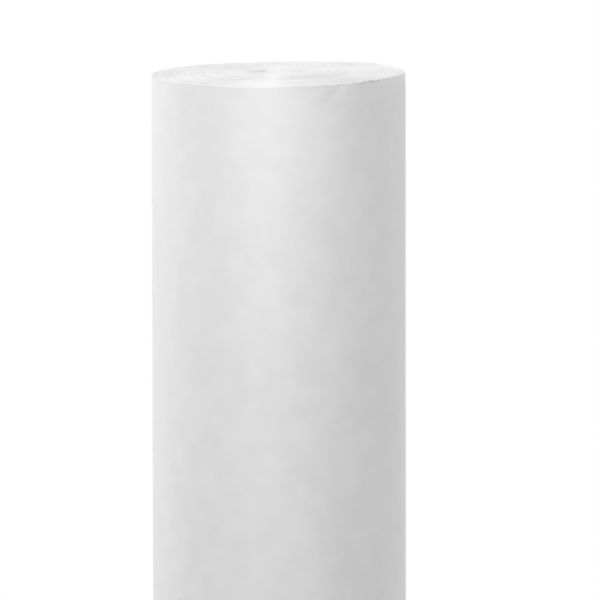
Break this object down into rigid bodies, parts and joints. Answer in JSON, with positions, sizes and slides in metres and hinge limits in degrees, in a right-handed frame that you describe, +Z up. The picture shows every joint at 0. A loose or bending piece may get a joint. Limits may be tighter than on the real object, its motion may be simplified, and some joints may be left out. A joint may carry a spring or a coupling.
{
  "type": "baking paper roll",
  "caption": "Catering roll of white baking paper, tightly wound without a core, standing on end, with its middle folded in.",
  "frame": {"origin": "middle of the roll's outline, on the surface that it stands on", "axes": "+Z up along the roll, -Y towards the viewer of the picture, +X to the right in the picture"},
  "size_m": [0.1249, 0.1247, 0.382],
  "materials": {
    "baking_paper": "satin, siliconed paper"
  },
  "bodies": {
    "root": {"wound_paper": "baking_paper"}
  },
  "joints": []
}
